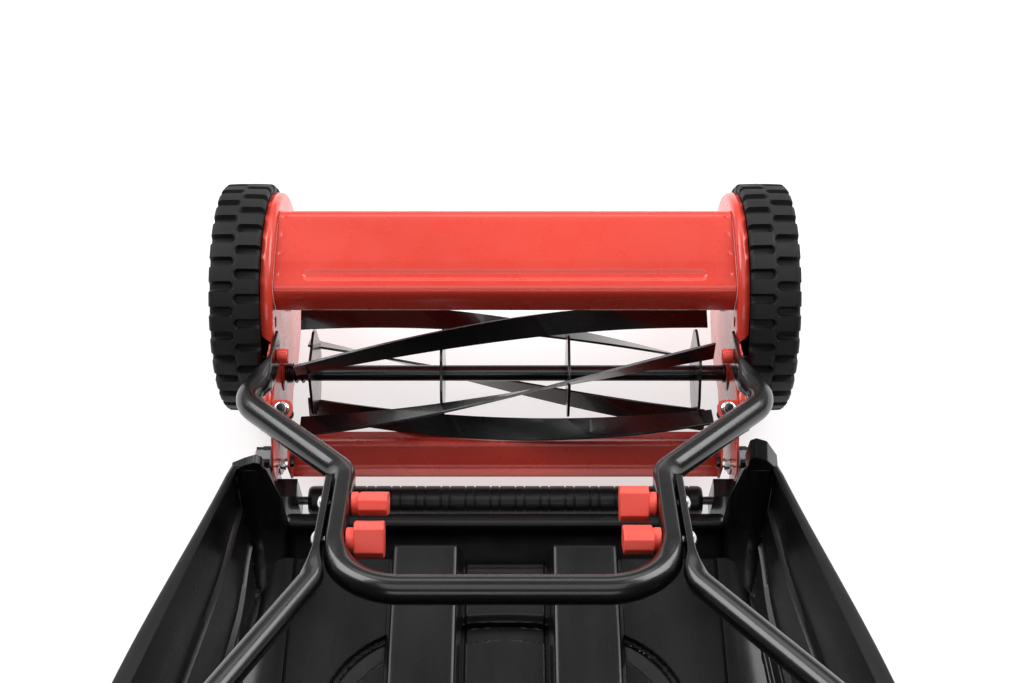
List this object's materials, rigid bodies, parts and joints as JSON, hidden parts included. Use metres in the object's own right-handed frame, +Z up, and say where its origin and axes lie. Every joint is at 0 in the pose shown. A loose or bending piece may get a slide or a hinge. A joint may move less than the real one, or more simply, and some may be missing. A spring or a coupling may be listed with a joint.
{
  "type": "reel mower",
  "caption": "Hand-pushed reel mower with gear-driven helical blades, adjustable bed knife, rear roller, folding tubular handle and rear grass box.",
  "frame": {"origin": "centre of the whole length and width, on the ground under the wheels", "axes": "+X to the operator's right along the wheel axle, +Y forward in the direction of mowing, +Z up"},
  "size_m": [0.5638, 1.1719, 0.7042],
  "materials": {
    "red_paint": "gloss",
    "red_plastic": "satin",
    "black_paint": "gloss",
    "black_plastic": "satin",
    "tread": "matte",
    "steel": "brushed",
    "zinc": "bright",
    "foam": "foam"
  },
  "bodies": {
    "chassis": {"side_plate_left": "red_paint", "side_plate_right": "red_paint", "front_deflector": "red_paint", "bed_bolt_left": "steel", "bed_bolt_right": "steel", "bed_nut_left": "zinc", "bed_nut_right": "zinc", "bed_pivot_left": "steel", "bed_pivot_right": "steel", "height_bolt_left": "zinc", "height_bolt_right": "zinc", "reel_bearing_left": "red_paint", "reel_bearing_right": "red_paint", "wheel_axle_left": "steel", "wheel_axle_right": "steel"},
    "reel": {"reel_shaft": "black_paint", "reel_spider_1": "black_paint", "reel_spider_2": "black_paint", "reel_spider_3": "black_paint", "reel_spider_4": "black_paint", "reel_blade_1": "black_paint", "reel_blade_2": "black_paint", "reel_blade_3": "black_paint", "reel_blade_4": "black_paint", "reel_blade_5": "black_paint", "reel_spring": "black_paint", "reel_collar": "black_paint", "pinion_left": "steel", "pinion_right": "steel"},
    "wheel_left": {"wheel_left": "black_plastic", "tyre_left": "tread", "hub_cap_left": "red_plastic"},
    "wheel_right": {"wheel_right": "black_plastic", "tyre_right": "tread", "hub_cap_right": "red_plastic"},
    "bed": {"bed_bar": "red_paint", "bed_knife": "steel"},
    "carriage": {"roller_arm_left": "black_plastic", "roller_arm_right": "black_plastic", "roller_axle": "black_paint"},
    "roller": {"rear_roller": "black_plastic"},
    "handle": {"lower_handle": "black_paint", "handle_pivot_left": "red_paint", "handle_pivot_right": "red_paint", "handle_tube_left": "black_paint", "handle_tube_right": "black_paint", "handle_top": "black_paint", "handle_grip": "foam", "handle_bolt_upper_left": "zinc", "handle_bolt_upper_right": "zinc", "handle_bolt_lower_left": "zinc", "handle_bolt_lower_right": "zinc"},
    "knob_upper_left": {"handle_knob_upper_left": "red_plastic"},
    "knob_upper_right": {"handle_knob_upper_right": "red_plastic"},
    "knob_lower_left": {"handle_knob_lower_left": "red_plastic"},
    "knob_lower_right": {"handle_knob_lower_right": "red_plastic"},
    "screw_left": {"top_screw_left": "red_plastic"},
    "screw_right": {"top_screw_right": "red_plastic"},
    "box": {"grass_box": "black_plastic"}
  },
  "joints": [
    {"name": "wheel_left_spin", "type": "hinge", "parent": "chassis", "child": "wheel_left", "pos_m": [-0.24, 0.4785, 0.1075], "axis": [1, 0, 0], "continuous": true},
    {"name": "wheel_right_spin", "type": "hinge", "parent": "chassis", "child": "wheel_right", "pos_m": [0.24, 0.4785, 0.1075], "axis": [1, 0, 0], "continuous": true},
    {"name": "reel_spin", "type": "hinge", "parent": "chassis", "child": "reel", "pos_m": [0, 0.4052, 0.0914], "axis": [1, 0, 0], "continuous": true},
    {"name": "bed_adjust", "type": "hinge", "parent": "chassis", "child": "bed", "pos_m": [0, 0.3225, 0.0725], "axis": [1, 0, 0], "range_deg": [-1, 0]},
    {"name": "roller_height", "type": "slide", "parent": "chassis", "child": "carriage", "axis": [0, 0, 1], "range_m": [-0.004, 0.018]},
    {"name": "roller_spin", "type": "hinge", "parent": "carriage", "child": "roller", "pos_m": [0, 0.3095, 0.014], "axis": [1, 0, 0], "continuous": true},
    {"name": "handle_fold", "type": "hinge", "parent": "chassis", "child": "handle", "pos_m": [0, 0.38492, 0.15937], "axis": [-1, 0, 0], "range_deg": [0, 62]},
    {"name": "grass_box_lift", "type": "slide", "parent": "carriage", "child": "box", "axis": [0, -0.342, 0.9397], "range_m": [0, 0.05]},
    {"name": "knob_upper_left_turn", "type": "hinge", "parent": "handle", "child": "knob_upper_left", "pos_m": [-0.1, 0.19512, 0.26458], "axis": [1, 0, 0], "continuous": true},
    {"name": "knob_lower_left_turn", "type": "hinge", "parent": "handle", "child": "knob_lower_left", "pos_m": [-0.1, 0.15664, 0.28591], "axis": [1, 0, 0], "continuous": true},
    {"name": "screw_left_turn", "type": "hinge", "parent": "handle", "child": "screw_left", "pos_m": [-0.214, -0.22994, 0.5002], "axis": [1, 0, 0], "continuous": true},
    {"name": "knob_upper_right_turn", "type": "hinge", "parent": "handle", "child": "knob_upper_right", "pos_m": [0.1, 0.19512, 0.26458], "axis": [-1, 0, 0], "continuous": true},
    {"name": "knob_lower_right_turn", "type": "hinge", "parent": "handle", "child": "knob_lower_right", "pos_m": [0.1, 0.15664, 0.28591], "axis": [-1, 0, 0], "continuous": true},
    {"name": "screw_right_turn", "type": "hinge", "parent": "handle", "child": "screw_right", "pos_m": [0.256, -0.22994, 0.5002], "axis": [-1, 0, 0], "continuous": true}
  ],
  "couplings": [
    {"joint": "wheel_right_spin", "follows": "wheel_left_spin", "ratio": 1},
    {"joint": "reel_spin", "follows": "wheel_left_spin", "ratio": 6}
  ]
}
